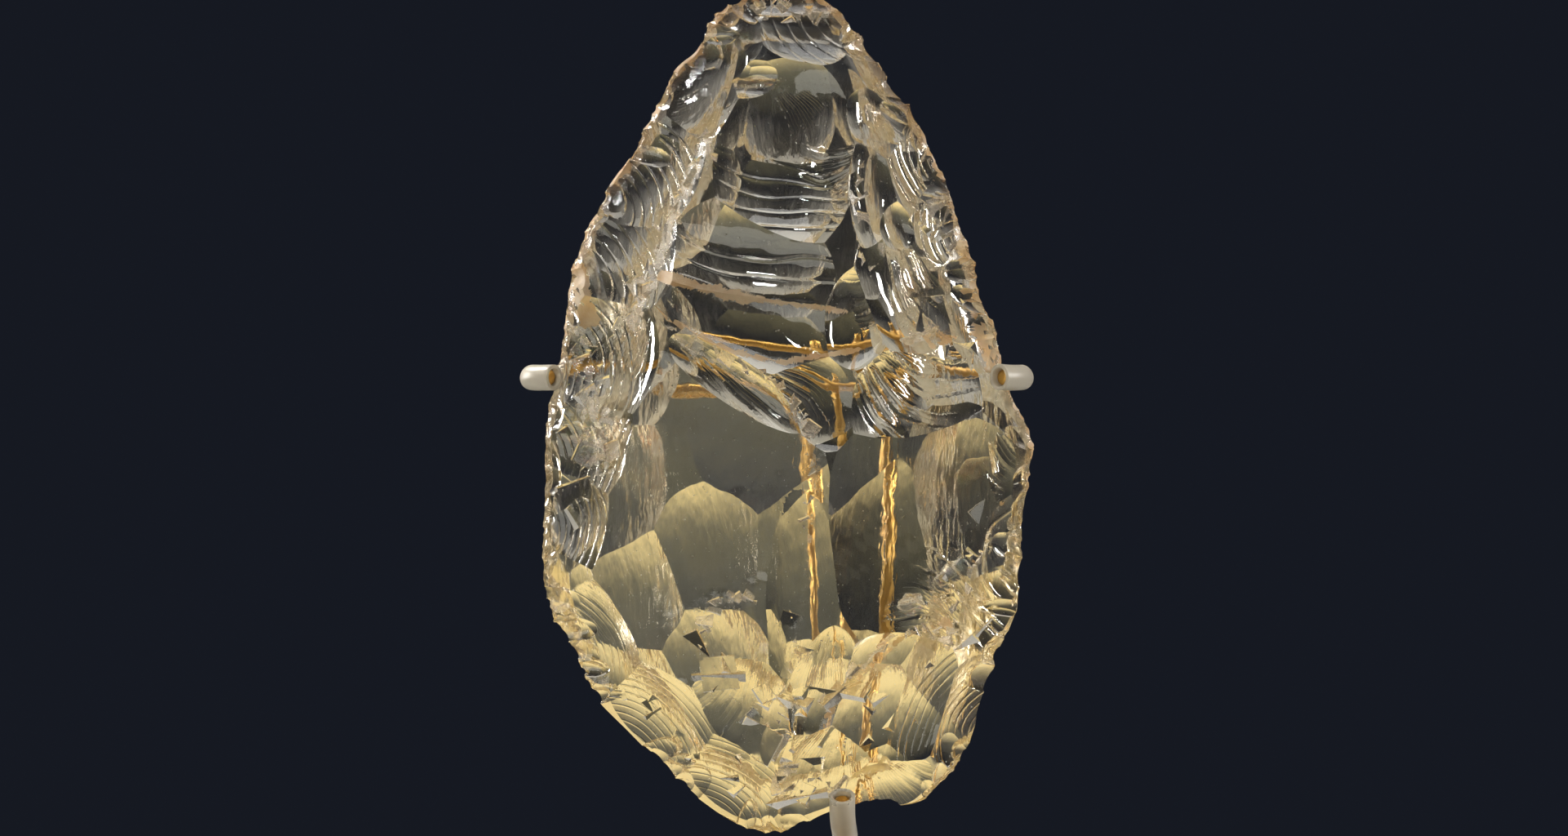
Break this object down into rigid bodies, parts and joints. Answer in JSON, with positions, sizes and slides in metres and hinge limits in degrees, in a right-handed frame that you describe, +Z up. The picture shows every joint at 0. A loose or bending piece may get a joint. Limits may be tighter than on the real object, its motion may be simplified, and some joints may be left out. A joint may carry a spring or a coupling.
{
  "type": "rock crystal scraper",
  "caption": "Flaked scraper of clear rock crystal with a pointed tip and a rounded base, held upright in a brass wire cradle with plastic-sleeved hooks on a round foot.",
  "frame": {"origin": "middle of the foot's underside", "axes": "+Z up through the stone's tip, -Y towards the viewer of the flaked front face, +X to that viewer's right"},
  "size_m": [0.058, 0.058, 0.1083],
  "materials": {
    "rock_crystal": "clear champagne-tinted quartz, glossy in the flake scars, frosted along the ridges",
    "aged_brass": "darkened brass wire, semi-gloss",
    "sleeve_plastic": "translucent shrunk tubing, satin",
    "satin_brass": "satin turned brass"
  },
  "bodies": {
    "root": {"rock_crystal": "rock_crystal", "cradle_rod": "aged_brass", "cradle_arm": "aged_brass", "cradle_toe": "aged_brass", "left_sleeve": "sleeve_plastic", "right_sleeve": "sleeve_plastic", "toe_sleeve": "sleeve_plastic", "foot": "satin_brass"}
  },
  "joints": []
}
